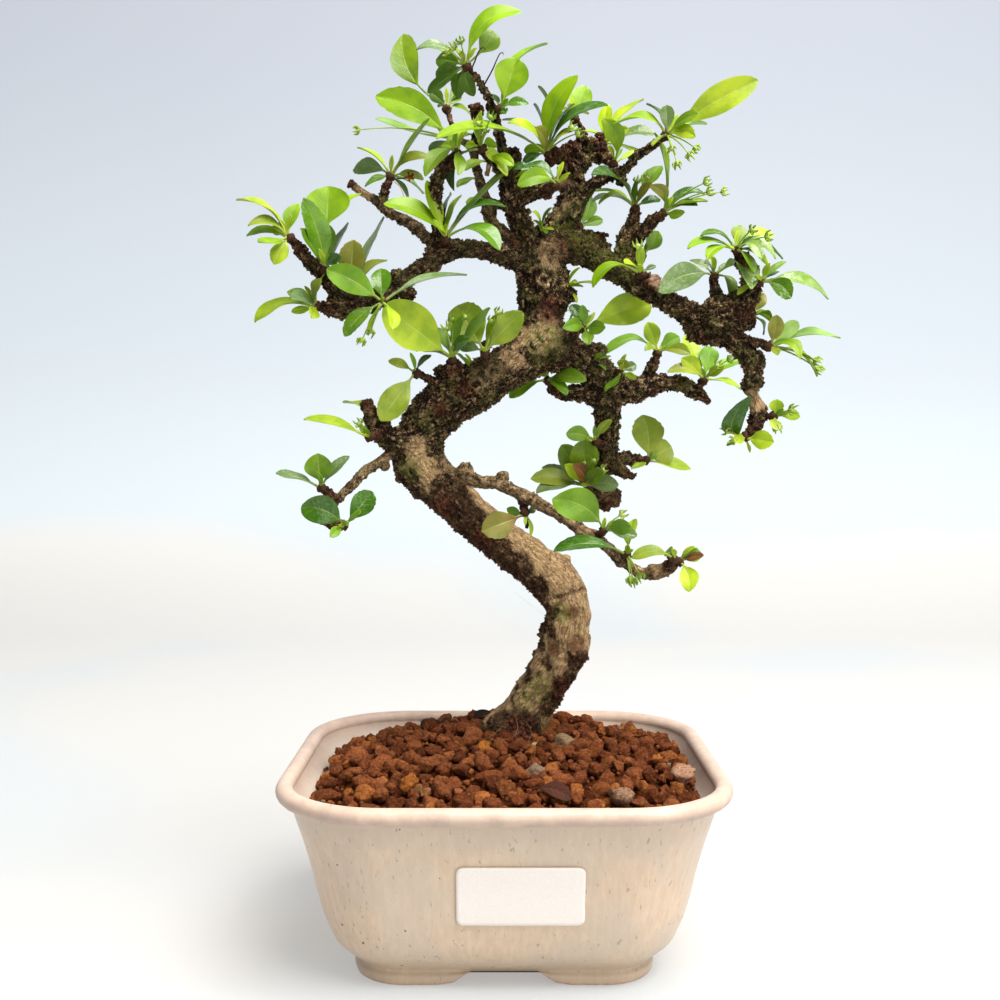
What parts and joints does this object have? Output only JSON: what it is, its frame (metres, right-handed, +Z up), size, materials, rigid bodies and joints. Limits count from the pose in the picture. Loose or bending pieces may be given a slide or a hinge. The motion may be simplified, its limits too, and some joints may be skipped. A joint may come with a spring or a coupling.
{
  "type": "fukien tea bonsai in a glazed pot",
  "caption": "Small bonsai tree with a double-bent trunk, knobbed twigs and whorls of spoon-shaped leaves, in clay grain soil in a rounded square glazed pot.",
  "frame": {"origin": "middle of the underside of the whole plant's box, at the level the pot's feet stand on", "axes": "+X to the right and +Y away from the viewer as pictured, +Z up"},
  "size_m": [0.2022, 0.1378, 0.3225],
  "materials": {
    "glaze": "beige-grey glazed stoneware with fine grey specks, unglazed feet; gloss plastic stands in for the glaze",
    "paper": "blank matt white paper label",
    "plastic_mesh": "black plastic drainage mesh",
    "soil": "matt brown-red fired clay grains",
    "bark": "rough grey-brown living bark with knobs, scars and a little moss",
    "leaf": "glossy green leaves, from yellow-green young ones to deep green old ones"
  },
  "bodies": {
    "root": {"pot": "glaze", "label": "paper", "drain_mesh": "plastic_mesh", "soil": "soil", "tree": "bark", "left_low_bough_leaves": "leaf", "left_low_arm_leaves": "leaf", "left_high_spur_leaves": "leaf", "left_fork_spur_leaves": "leaf", "left_fork_bud_leaves": "leaf", "crown_tip_twig_leaves": "leaf", "crown_back_twig_leaves": "leaf", "crown_front_twig_leaves": "leaf", "crown_cross_twig_leaves": "leaf", "crown_mid_arm_leaves": "leaf", "crown_mid_stub_leaves": "leaf", "crown_mid_twig_leaves": "leaf", "right_high_twig_leaves": "leaf", "right_high_spur_leaves": "leaf", "right_bough_leaves": "leaf", "right_spur_left_leaves": "leaf", "right_spur_right_leaves": "leaf", "right_bud_spur_leaves": "leaf", "right_up_near_leaves": "leaf", "right_up_far_leaves": "leaf", "right_end_twig_leaves": "leaf", "right_end_spur_leaves": "leaf", "back_arm_spur_leaves": "leaf", "back_left_bud_leaves": "leaf", "back_low_stub_leaves": "leaf", "back_arm_bud_leaves": "leaf", "back_top_bud_leaves": "leaf", "front_bough_leaves": "leaf", "front_stub_leaves": "leaf", "front_top_bud_leaves": "leaf", "left_mid_bud_leaves": "leaf", "left_mid_top_bud_leaves": "leaf", "left_low_top_spur_leaves": "leaf", "left_low_end_spur_leaves": "leaf", "trunk_knob_leaves": "leaf", "trunk_mid_spur_leaves": "leaf", "trunk_left_spur_leaves": "leaf", "trunk_right_spur_leaves": "leaf", "back_side_bud_leaves": "leaf", "back_cluster_bud_leaves": "leaf", "stem_back_bud_leaves": "leaf", "left_arm_spur_leaves": "leaf", "left_low_arm_spur_leaves": "leaf", "left_mid_cup_spur_leaves": "leaf", "crown_back_spur_leaves": "leaf", "crown_side_spur_leaves": "leaf", "right_knee_spur_leaves": "leaf", "right_far_spur_leaves": "leaf", "right_low_spur_leaves": "leaf", "front_low_spur_leaves": "leaf", "front_end_spur_leaves": "leaf"}
  },
  "joints": []
}
